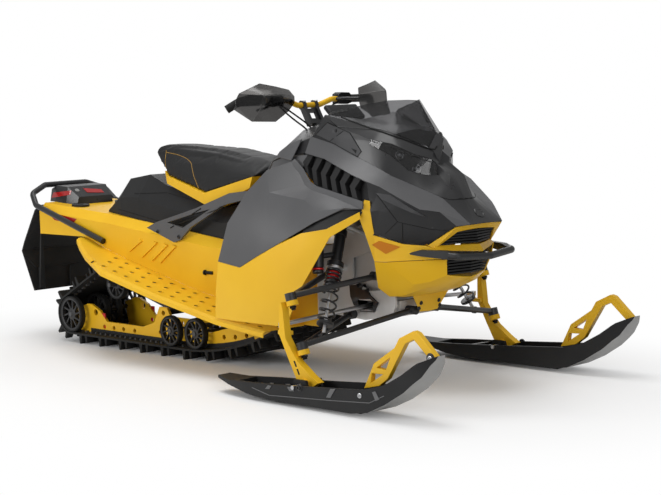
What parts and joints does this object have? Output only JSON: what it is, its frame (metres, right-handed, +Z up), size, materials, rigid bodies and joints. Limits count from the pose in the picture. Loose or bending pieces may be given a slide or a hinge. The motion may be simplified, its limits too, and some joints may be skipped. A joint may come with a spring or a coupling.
{
  "type": "snowmobile",
  "caption": "Trail snowmobile with a lugged track, open skid suspension, double A-arm front end and steered skis, black and yellow bodywork",
  "frame": {"origin": "on the ground under the middle of the vehicle's length and width", "axes": "+X forward, +Y to the rider's left, +Z up"},
  "size_m": [2.916, 1.228, 1.1339],
  "materials": {
    "yellow_gloss": "gloss",
    "yellow_paint": "gloss",
    "black_gloss": "gloss",
    "black_plastic": "satin",
    "grey_panel": "satin",
    "black_paint": "satin",
    "bare_alloy": "satin",
    "dark_alloy": "satin",
    "track_rubber": "matte",
    "wheel_plastic": "satin",
    "seat_cover": "satin",
    "smoked_plastic": "gloss",
    "lamp_lens": "gloss"
  },
  "bodies": {
    "chassis": {"arms_left": "black_paint", "arms_right": "black_paint", "belly_pan": "yellow_gloss", "bulkhead": "bare_alloy", "cargo_anchors": "black_plastic", "carrier_wheels": "wheel_plastic", "console": "black_plastic", "dash_sides": "grey_panel", "drive_axle": "dark_alloy", "engine": "dark_alloy", "front_bumper": "black_paint", "grilles": "black_plastic", "headlamps": "lamp_lens", "hood": "black_gloss", "hood_sides": "grey_panel", "lamp_units": "black_plastic", "lower_panel_left": "yellow_gloss", "lower_panel_right": "yellow_gloss", "lower_wheels": "wheel_plastic", "nose_band": "yellow_gloss", "nose_cheeks": "yellow_gloss", "panel_bands": "grey_panel", "rear_bumper": "black_paint", "rear_wheels": "wheel_plastic", "running_board_left": "yellow_paint", "running_board_right": "yellow_paint", "seat": "seat_cover", "seat_base": "yellow_gloss", "seat_braces": "dark_alloy", "shock_left": "black_paint", "shock_right": "black_paint", "shoulder_strips": "grey_panel", "side_louvres": "black_plastic", "side_panel_left": "grey_panel", "side_panel_right": "grey_panel", "side_pockets": "black_plastic", "skid_arms": "black_paint", "skid_shocks": "black_paint", "slide_rails": "yellow_paint", "snow_flap": "track_rubber", "tail_lamp": "black_gloss", "tank_cover": "black_plastic", "track": "track_rubber", "tunnel": "yellow_paint", "windshield": "smoked_plastic"},
    "steering": {"handlebar": "yellow_paint", "steering_column": "black_paint", "grips": "track_rubber", "hand_guards": "smoked_plastic", "guard_arms": "black_paint", "bar_controls": "black_plastic"},
    "link": {"steering_link": "bare_alloy"},
    "left_spindle": {"spindle_left": "yellow_paint"},
    "right_spindle": {"spindle_right": "yellow_paint"},
    "left_ski": {"ski_left": "black_plastic", "ski_loop_left": "yellow_gloss", "ski_bolt_left": "bare_alloy"},
    "right_ski": {"ski_right": "black_plastic", "ski_loop_right": "yellow_gloss", "ski_bolt_right": "bare_alloy"}
  },
  "joints": [
    {"name": "steering", "type": "hinge", "parent": "chassis", "child": "steering", "pos_m": [0.298, 0, 1.044], "axis": [-0.4848, 0, 0.8746], "range_deg": [-30, 30]},
    {"name": "steering_link_slide", "type": "slide", "parent": "chassis", "child": "link", "axis": [0, 1, 0], "range_m": [-0.04, 0.04]},
    {"name": "left_spindle_turn", "type": "hinge", "parent": "chassis", "child": "left_spindle", "pos_m": [0.782, 0.522, 0.188], "axis": [-0.2874, 0, 0.9578], "range_deg": [-27.5, 27.5]},
    {"name": "right_spindle_turn", "type": "hinge", "parent": "chassis", "child": "right_spindle", "pos_m": [0.782, -0.522, 0.188], "axis": [-0.2874, 0, 0.9578], "range_deg": [-27.5, 27.5]},
    {"name": "left_ski_pitch", "type": "hinge", "parent": "left_spindle", "child": "left_ski", "pos_m": [0.818, 0.54, 0.07], "axis": [0, 1, 0], "range_deg": [-12, 12]},
    {"name": "right_ski_pitch", "type": "hinge", "parent": "right_spindle", "child": "right_ski", "pos_m": [0.818, -0.54, 0.07], "axis": [0, 1, 0], "range_deg": [-12, 12]}
  ],
  "couplings": [
    {"joint": "steering_link_slide", "follows": "steering", "m_per_rad": -0.0739},
    {"joint": "left_spindle_turn", "follows": "steering", "ratio": 0.9},
    {"joint": "right_spindle_turn", "follows": "steering", "ratio": 0.9}
  ]
}
